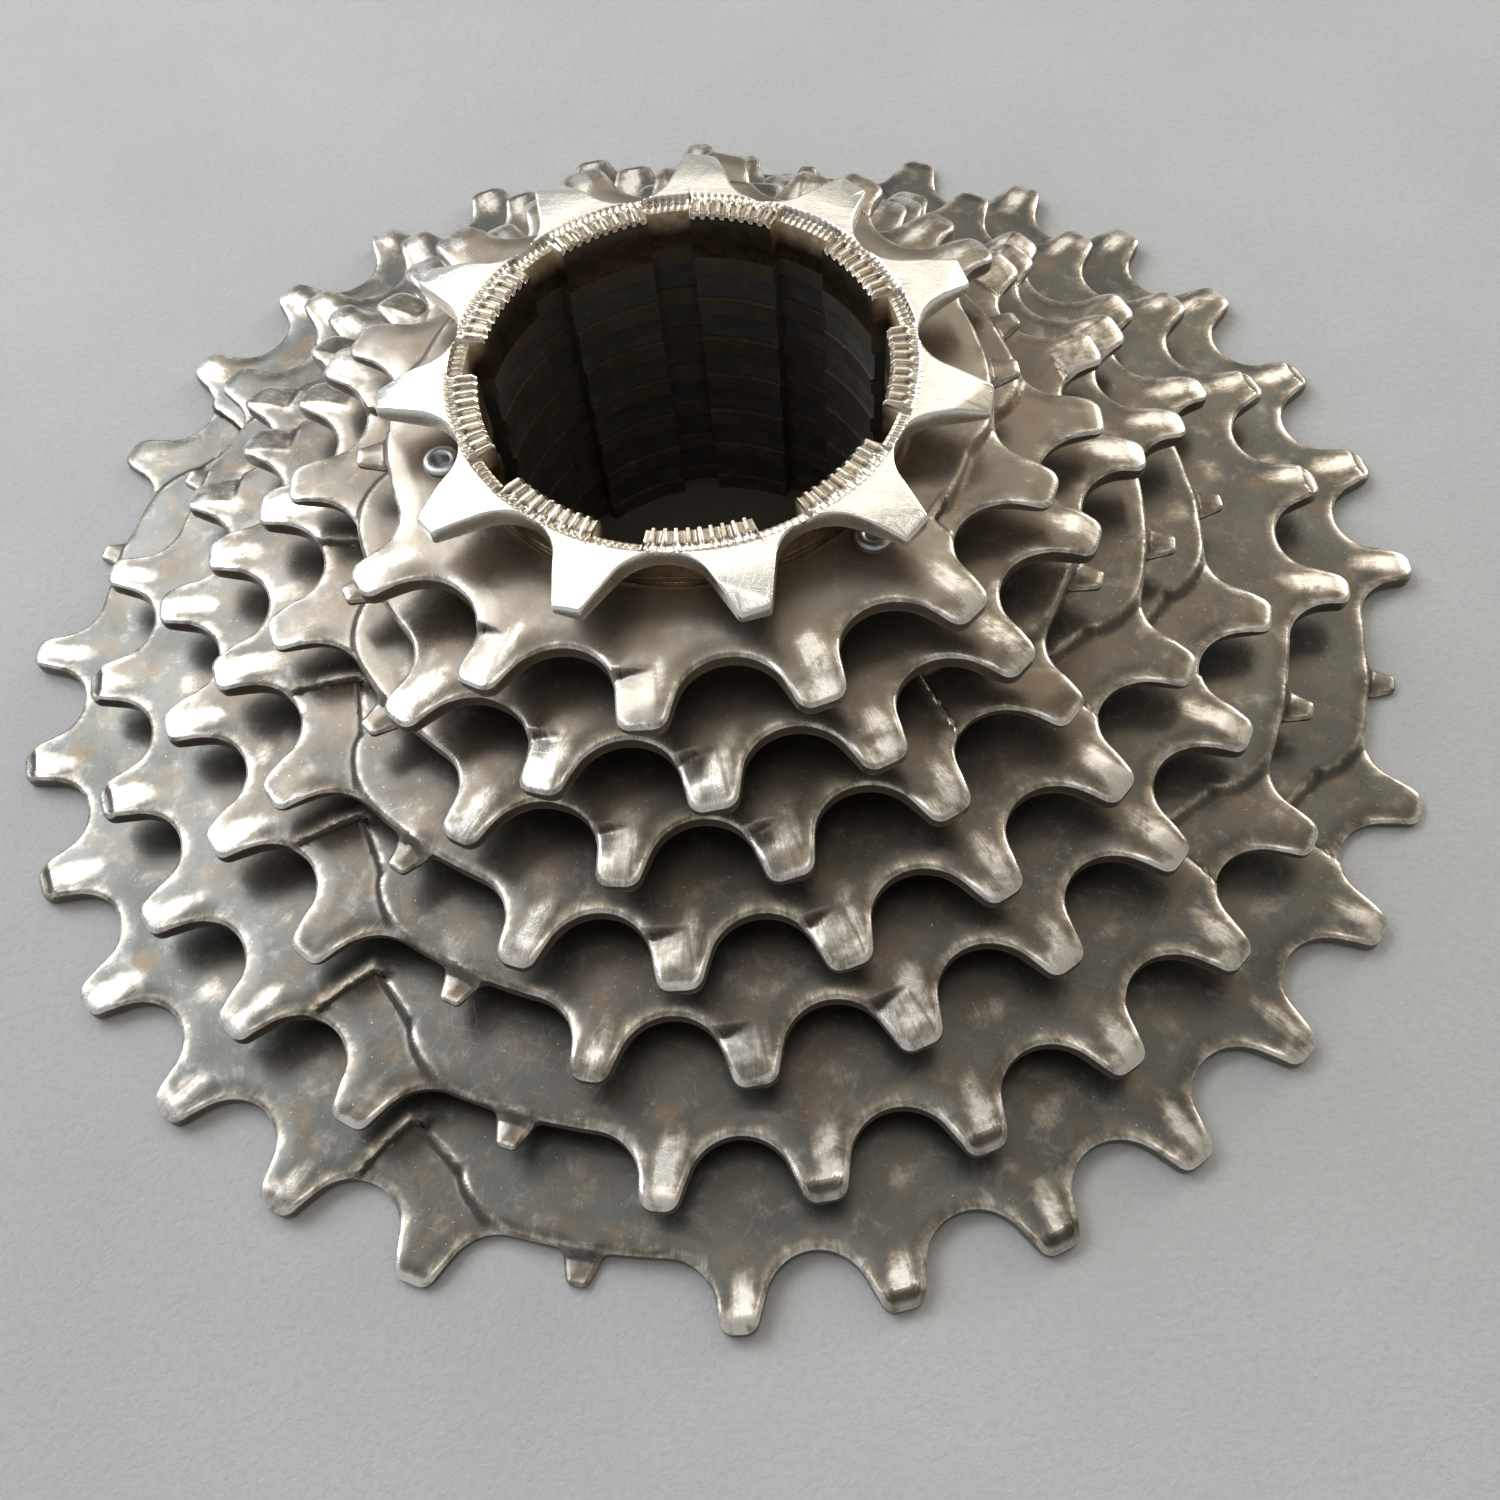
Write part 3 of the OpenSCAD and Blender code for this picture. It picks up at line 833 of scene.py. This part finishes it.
def build_rivet(node, material):
    """A long rivet with a domed, hollow head and a flat foot."""
    low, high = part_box(node)
    x, y, _ = (low + high) / 2 / MM
    z0, z1 = low.z / MM, high.z / MM
    # foot, shank, head and hollow, as (radius, height)
    prof = [(0.0, z0), (1.2, z0), (1.42, z0 + 0.05), (1.5, z0 + 0.2), (1.5, z0 + 0.7), (1.15, z0 + 0.72)]
    prof += [(1.15, z1 - 0.52), (1.44, z1 - 0.5), (1.5, z1 - 0.4), (1.46, z1 - 0.2), (1.3, z1 - 0.06), (1.05, z1)]
    prof += [(0.82, z1 - 0.04), (0.66, z1 - 0.16), (0.6, z1 - 0.4), (0.58, z1 - 1.1), (0.0, z1 - 1.15)]
    count = 40
    a = np.arange(count) * TAU / count
    verts = np.vstack([
        np.column_stack([x + max(r, 1e-3) * np.cos(a), y + max(r, 1e-3) * np.sin(a), np.full(count, z)])
        for r, z in prof
    ])
    last = len(verts)
    verts = np.vstack([verts, *([x, y, prof[end][1]] for end in (0, -1))])
    k = np.arange(count)
    tris = np.vstack([
        np.column_stack([np.full(count, last), (k + 1) % count, k]),
        np.column_stack([np.full(count, last + 1), last - count + k, last - count + (k + 1) % count]),
    ])
    o = make_mesh(f"pin_{node[-1]}", verts, grid_quads(len(prof), count), tris, {}, 50)
    place(o, "riveted_stack", node, "rivet_steel", material)


# ---- materials ----

class Nodes:
    """Short names for building a node tree."""

    def __init__(self, tree):
        self.tree = tree
        tree.nodes.clear()

    def new(self, kind, **props):
        node = self.tree.nodes.new(kind)
        for key, value in props.items():
            setattr(node, key, value)
        return node

    def link(self, a, b):
        self.tree.links.new(a, b)

    def value(self, socket, x):
        """Sets a socket to a number or a colour, or links another node's output to it."""
        if isinstance(x, (int, float)):
            socket.default_value = x
        elif isinstance(x, tuple):
            socket.default_value = (*x, 1)
        else:
            self.link(x, socket)

    def coords(self, offset=(0, 0, 0), rotation=(0, 0, 0)):
        """Object coordinates in millimetres, then turned and moved."""
        tex = self.new("ShaderNodeTexCoord")
        mapping = self.new("ShaderNodeMapping")
        self.link(tex.outputs["Object"], mapping.inputs["Vector"])
        mapping.inputs["Location"].default_value = offset
        mapping.inputs["Rotation"].default_value = rotation
        mapping.inputs["Scale"].default_value = (1 / MM, 1 / MM, 1 / MM)
        return mapping.outputs[0]

    def noise(self, vector, scale, detail=4, rough=0.55, distortion=0.0):
        n = self.new("ShaderNodeTexNoise")
        for name, x in zip(("Vector", "Scale", "Detail", "Roughness", "Distortion"),
                           (vector, scale, detail, rough, distortion)):
            self.value(n.inputs[name], x)
        return n.outputs["Fac"]

    def math(self, op, a, b=0.0, c=0.0, clamp=False):
        n = self.new("ShaderNodeMath", operation=op, use_clamp=clamp)
        for socket, x in zip(n.inputs, (a, b, c)):
            self.value(socket, x)
        return n.outputs[0]

    def times(self, a, b):
        return self.math("MULTIPLY", a, b)

    def map(self, x, a, b, c=0.0, d=1.0, kind="SMOOTHSTEP"):
        n = self.new("ShaderNodeMapRange", interpolation_type=kind)
        for socket, v in zip(n.inputs[:5], (x, a, b, c, d)):
            self.value(socket, v)
        return n.outputs[0]

    def mix(self, fac, a, b, **props):
        n = self.new("ShaderNodeMix", data_type="RGBA", **props)
        for place, x in ((0, fac), (6, a), (7, b)):
            self.value(n.inputs[place], x)
        return n.outputs[2]

    def mixf(self, fac, a, b):
        n = self.new("ShaderNodeMix", data_type="FLOAT")
        for place, x in ((0, fac), (2, a), (3, b)):
            self.value(n.inputs[place], x)
        return n.outputs[0]

    def attribute(self, name):
        return self.new("ShaderNodeAttribute", attribute_name=name).outputs["Fac"]

    def bump(self, height, strength, distance, normal=None):
        n = self.new("ShaderNodeBump")
        for name, x in (("Strength", strength), ("Distance", distance), ("Height", height)):
            self.value(n.inputs[name], x)
        if normal is not None:
            self.link(normal, n.inputs["Normal"])
        return n.outputs[0]

    def vector(self, op, a):
        n = self.new("ShaderNodeVectorMath", operation=op)
        self.link(a, n.inputs[0])
        return n

    def flatten(self, vector):
        """A vector without its height, and its length then."""
        flat = self.vector("MULTIPLY", vector)
        flat.inputs[1].default_value = (1, 1, 0)
        return flat.outputs[0], self.vector("LENGTH", flat.outputs[0]).outputs["Value"]


class Surface(Nodes):
    """A material with one Principled shader."""

    def __init__(self, name):
        self.mat = bpy.data.materials.new(name)
        self.mat.use_nodes = True
        super().__init__(self.mat.node_tree)
        out = self.new("ShaderNodeOutputMaterial")
        self.shader = self.new("ShaderNodeBsdfPrincipled")
        self.link(self.shader.outputs[0], out.inputs[0])

    def set(self, name, x):
        self.value(self.shader.inputs[name], x)


def scratches(n, seed, angle, density=0.66):
    """Thin straight scratches, all leaning one way."""
    v = n.coords((seed, seed * 0.7, 0), (0, 0, math.radians(angle)))
    stretch = n.new("ShaderNodeMapping")
    n.link(v, stretch.inputs["Vector"])
    stretch.inputs["Scale"].default_value = (0.3, 9.0, 0.5)
    fine = n.noise(stretch.outputs[0], 1.0, 1, 0.5)
    return n.map(fine, density, density + 0.06)


def radial_brush(n, seed):
    """Streaks that run towards the axis, the same all round it."""
    across, along = 240.0, 0.35
    flat, length = n.flatten(n.coords())
    wide = n.vector("SCALE", n.vector("NORMALIZE", flat).outputs[0])
    wide.inputs["Scale"].default_value = across
    lift = n.new("ShaderNodeCombineXYZ")
    n.link(n.math("MULTIPLY_ADD", length, along, seed * 9.0), lift.inputs[2])
    both = n.vector("ADD", wide.outputs[0])
    n.link(lift.outputs[0], both.inputs[1])
    return n.noise(both.outputs[0], 1.0, 3, 0.6)


# Nickel plate where it is polished, also used for painted sheen and reflections, and where it is stained brown
BRIGHT_NICKEL = (0.85, 0.815, 0.76)
TARNISH = (0.23, 0.155, 0.088)


def worn_steel(name, seed, smoky):
    """Nickel plate: smoky and stained on its faces, polished along edges and tooth tips, with painted sheen near the
    outlines, painted reflections below the gaps of the next ring, and painted shadows in wedges and along steps.
    """
    n = Surface(name)
    base = n.coords((seed * 13.7, seed * 7.1, seed * 3.3))
    wear_and_sheen, soot_and_shade, brown = n.attribute("wear_and_sheen"), n.attribute("soot_and_shade"), n.attribute("brown")
    cloud = n.noise(base, 0.09, 4, 0.55, 0.4)
    blotch = n.noise(base, 0.45, 6, 0.66, 0.3)
    grain = n.noise(base, 3.2, 5, 0.7)
    speck = n.noise(base, 7.0, 2, 0.5)
    brush = radial_brush(n, seed)

    # how polished the plate is here, including the painted sheen and reflections
    edge = n.times(wear_and_sheen, n.map(blotch, 0.3, 0.7, 0.5, 1.4, "LINEAR"))
    edge = n.times(edge, n.map(brush, 0.3, 0.7, 0.86, 1.12, "LINEAR"))
    polish_and_sheen = n.map(edge, 0.12, 0.92)
    polish_and_sheen = n.math("MULTIPLY", polish_and_sheen, n.math("SUBTRACT", 1.0, n.times(soot_and_shade, 0.8)), clamp=True)

    face = n.mix(n.map(cloud, 0.36, 0.66), smoky, tuple(1.4 * c for c in smoky))
    face = n.mix(n.times(n.map(blotch, 0.52, 0.8), 0.2), face, BRIGHT_NICKEL)
    stain = n.map(n.noise(n.coords((seed * 5.1, 3.0, 1.0)), 0.16, 4, 0.6, 1.2), 0.48, 0.7, 0.0, 0.45)
    stain = n.math("MAXIMUM", stain, n.times(brown, n.map(blotch, 0.35, 0.6, 0.5, 1.1)))
    face = n.mix(n.times(stain, 0.75), face, TARNISH)
    marks = n.math("MAXIMUM", scratches(n, seed + 0.3, 24), scratches(n, seed + 4.1, -51))
    marks = n.math("MAXIMUM", marks, scratches(n, seed + 9.4, 83))
    face = n.mix(n.times(marks, 0.045), face, BRIGHT_NICKEL)
    # half worn plate is brownish before it is bright
    half = n.mix(n.map(polish_and_sheen, 0.0, 0.45), face, (0.33, 0.288, 0.232))
    color = n.mix(n.map(polish_and_sheen, 0.3, 1.0), half, BRIGHT_NICKEL)
    # soot and painted shade darken the colour here
    color = n.mix(n.times(soot_and_shade, 0.75), color, (0.04, 0.033, 0.027))
    color = n.mix(n.map(speck, 0.7, 0.76, 0, 0.4), color, (0.07, 0.06, 0.05))
    dust = n.noise(n.coords((seed * 2.9, 1.0, 7.0)), 4.2, 1, 0.5)
    color = n.mix(n.map(dust, 0.74, 0.79, 0, 0.5), color, (0.75, 0.72, 0.66))
    n.set("Base Color", color)
    n.set("Metallic", n.map(brown, 0.2, 1.0, 0.88, 0.5, "LINEAR"))
    rough = n.mixf(polish_and_sheen, n.map(cloud, 0.3, 0.7, 0.36, 0.28, "LINEAR"), 0.22)
    rough = n.math("ADD", rough, n.times(n.math("SUBTRACT", grain, 0.5), 0.16))
    rough = n.math("ADD", rough, n.times(marks, 0.05), clamp=True)
    n.set("Roughness", rough)
    wavy = n.bump(cloud, 0.2, 0.0005)
    pits = n.bump(grain, 0.08, 0.00005, wavy)
    cuts = n.bump(n.math("SUBTRACT", n.times(brush, 0.3), marks), 0.1, 0.00003, pits)
    n.set("Normal", cuts)
    return n.mat


def small_steel():
    """The smallest sprocket: paler, warmer plate, with a golden boss whose groove lips carry painted highlights and
    whose grooves carry painted shade.
    """
    n = Surface("pale_nickel")
    base = n.coords((4.0, 9.0, 2.0))
    wear_and_sheen, soot_and_shade, gold, dull = (n.attribute(a) for a in ("wear_and_sheen", "soot_and_shade", "gold", "dull"))
    cloud = n.noise(base, 0.16, 5, 0.6, 0.6)
    blotch = n.noise(base, 0.7, 6, 0.65, 0.3)
    grain = n.noise(base, 4.5, 5, 0.7)
    face = n.mix(n.map(cloud, 0.35, 0.65), (0.78, 0.73, 0.64), (0.9, 0.86, 0.78))
    face = n.mix(n.times(n.map(blotch, 0.5, 0.7), 0.3), face, (0.4, 0.33, 0.24))
    polish_and_sheen = n.math("ADD", wear_and_sheen, n.times(n.math("SUBTRACT", blotch, 0.5), 1.0))
    polish_and_sheen = n.map(polish_and_sheen, 0.2, 0.9)
    color = n.mix(polish_and_sheen, face, (0.97, 0.945, 0.88))
    golden = n.mix(n.map(blotch, 0.4, 0.65), (0.33, 0.215, 0.1), (0.7, 0.53, 0.32))
    color = n.mix(n.times(gold, 0.85), color, golden)
    stained = n.mix(n.map(blotch, 0.35, 0.65), (0.62, 0.46, 0.26), (1.0, 0.86, 0.64))
    color = n.mix(n.times(dull, 0.8), color, stained)
    # soot and the painted shade in the boss's grooves darken the colour here
    color = n.mix(n.times(soot_and_shade, 0.7), color, (0.09, 0.07, 0.05))
    n.set("Base Color", color)
    n.set("Metallic", n.map(dull, 0.0, 1.0, 1.0, 0.1, "LINEAR"))
    rough = n.mixf(polish_and_sheen, 0.36, 0.22)
    rough = n.math("ADD", rough, n.times(n.math("SUBTRACT", grain, 0.5), 0.35), clamp=True)
    n.set("Roughness", rough)
    marks = n.math("MAXIMUM", scratches(n, 2.2, 15, 0.64), scratches(n, 7.7, -64, 0.64))
    wavy = n.bump(cloud, 0.2, 0.0006)
    pits = n.bump(grain, 0.15, 0.0001, wavy)
    n.set("Normal", n.bump(n.times(marks, -1.0), 0.15, 0.00005, pits))
    return n.mat


def resin():
    """Matt black moulded resin with a little dust."""
    n = Surface("matt_resin")
    base = n.coords()
    dust = n.noise(base, 0.5, 5, 0.6)
    grain = n.noise(base, 6.0, 4, 0.6)
    color = n.mix(n.map(dust, 0.45, 0.75), (0.07, 0.068, 0.065), (0.12, 0.115, 0.105))
    n.set("Base Color", color)
    n.set("Roughness", n.map(grain, 0.3, 0.7, 0.5, 0.72, "LINEAR"))
    n.set("Normal", n.bump(grain, 0.3, 0.00015))
    return n.mat


def rivet_zinc():
    """Pale zinc plate."""
    n = Surface("pale_zinc")
    base = n.coords()
    cloud = n.noise(base, 1.2, 4, 0.6)
    grain = n.noise(base, 8.0, 4, 0.6)
    n.set("Base Color", n.mix(n.map(cloud, 0.35, 0.65), (0.5, 0.51, 0.51), (0.74, 0.76, 0.77)))
    n.set("Metallic", 1.0)
    n.set("Roughness", n.map(grain, 0.3, 0.7, 0.28, 0.45, "LINEAR"))
    n.set("Normal", n.bump(grain, 0.2, 0.0001))
    return n.mat


def floor_material():
    """A pale matt floor, painted dark inside the bore as deep shade."""
    n = Surface("pale_floor")
    base = n.coords()
    grain = n.noise(base, 1.6, 6, 0.7)
    cloud = n.noise(base, 0.03, 4, 0.6)
    color = n.mix(n.map(cloud, 0.3, 0.7), (0.455, 0.455, 0.45), (0.49, 0.49, 0.485))
    color = n.mix(n.map(grain, 0.35, 0.7, 0, 0.35), color, (0.37, 0.37, 0.365))
    # a deep shade is painted on the floor inside the bore
    _, from_axis = n.flatten(base)
    color = n.mix(n.map(from_axis, 17.0, 24.0), (0.1, 0.085, 0.065), color)
    # and it pales with distance, where the lamps no longer reach it, so that it meets the backdrop
    color = n.mix(n.map(from_axis, 400.0, 2600.0), color, (0.88, 0.88, 0.88))
    n.set("Base Color", color)
    n.set("Roughness", 0.7)
    n.set("Normal", n.bump(grain, 0.4, 0.0005))
    return n.mat


# ---- camera, light and floor ----

# Half of the floor's side and its gap below the stack, in metres
FLOOR_HALF = 10.0
FLOOR_GAP = 0.00005
# name, place in metres, size in metres, power in watts, colour
LAMPS = [
    ("window", (-0.58, 0.47, 0.68), (0.76, 0.7), 8.0, (0.89, 0.955, 1.03)),
    ("room", (0.6, 0.55, 0.75), (0.7, 0.6), 0.6, (1.0, 0.85, 0.66)),
    ("behind", (0.04, 1.0, 1.24), (1.6, 0.8), 3.5, (1.0, 0.96, 0.88)),
    ("overhead", (0.0, -0.03, 0.8), (0.5, 0.3), 0.55, (1.0, 0.97, 0.92)),
    ("low_side", (1.0, 0.76, 0.44), (0.55, 0.45), 5.2, (1.0, 0.98, 0.92)),
]
LAMP_AIM = (0, 0, 0.015)


def make_floor():
    """A wide square just below the stack."""
    mesh = bpy.data.meshes.new("floor")
    s, z = FLOOR_HALF, cad_box[0].z - FLOOR_GAP
    mesh.from_pydata([(-s, -s, z), (s, -s, z), (s, s, z), (-s, s, z)], [], [(0, 1, 2, 3)])
    floor = show("floor", mesh)
    mesh.materials.append(floor_material())


def make_camera():
    """The photo's camera, which looks down and is rolled a little."""
    cam = bpy.data.cameras.new("camera")
    cam.sensor_width = 36
    cam.lens = 38.04
    cam.clip_start = 0.005
    cam.clip_end = 20
    o = show("camera", cam)
    tilt, roll = math.radians(60.12), math.radians(-6.39)
    forward = Vector((0, math.cos(tilt), -math.sin(tilt)))
    right = Vector((1, 0, 0))
    up = Vector((0, math.sin(tilt), math.cos(tilt)))
    c, s = math.cos(roll), math.sin(roll)
    m = Matrix((c * right + s * up, -s * right + c * up, -forward)).transposed().to_4x4()
    m.translation = Vector((1.863, -87.837, 126.636)) * MM
    o.matrix_world = m
    bpy.context.scene.camera = o


def make_lamps():
    """Soft rectangular lamps, all aimed at the middle of the stack."""
    for name, place, size, power, color in LAMPS:
        light = bpy.data.lights.new(name, "AREA")
        light.shape = "RECTANGLE"
        light.size, light.size_y = size
        light.energy = power
        light.color = color
        o = show(name, light)
        o.location = place
        o.rotation_euler = (Vector(LAMP_AIM) - Vector(place)).to_track_quat("-Z", "Y").to_euler()


def make_world():
    """A grey backdrop, a little darker above, cool on the left and warm on the right."""
    world = bpy.data.worlds.new("studio")
    bpy.context.scene.world = world
    world.use_nodes = True
    n = Nodes(world.node_tree)
    out = n.new("ShaderNodeOutputWorld")
    back = n.new("ShaderNodeBackground")
    tex = n.new("ShaderNodeTexCoord")
    split = n.new("ShaderNodeSeparateXYZ")
    ramp = n.new("ShaderNodeValToRGB")
    n.link(tex.outputs["Generated"], split.inputs[0])
    n.link(split.outputs["Z"], ramp.inputs[0])
    for end, place, color in ((0, 0.05, (0.5, 0.5, 0.5, 1)), (1, 0.85, (0.42, 0.4, 0.375, 1))):
        ramp.color_ramp.elements[end].position = place
        ramp.color_ramp.elements[end].color = color
    tint = n.mix(n.map(split.outputs["X"], -0.6, 0.6, kind="LINEAR"), (0.96, 1.0, 1.07), (0.72, 0.7, 0.62))
    n.link(n.mix(1.0, ramp.outputs[0], tint, blend_type="MULTIPLY"), back.inputs[0])
    back.inputs[1].default_value = 1.0
    n.link(back.outputs[0], out.inputs[0])
    bpy.context.scene.view_settings.view_transform = "Standard"


make_floor()
make_camera()
make_lamps()
make_world()
# the faces are smokier on the large sprockets, and paler and warmer towards the small ones
TONES = [
    (0.1, 0.098, 0.087), (0.103, 0.098, 0.086), (0.108, 0.099, 0.085), (0.117, 0.104, 0.087),
    (0.132, 0.115, 0.094), (0.155, 0.134, 0.109), (0.225, 0.196, 0.162),
]
for i, tone in enumerate(TONES):
    build_sprocket(i, worn_steel(f"worn_nickel_{RINGS[i][1]}", i + 1.0, tone))
build_small_sprocket(small_steel())
black = resin()
for node in SPACERS:
    build_spacer(node, black)
zinc = rivet_zinc()
for node in RIVETS:
    build_rivet(node, zinc)
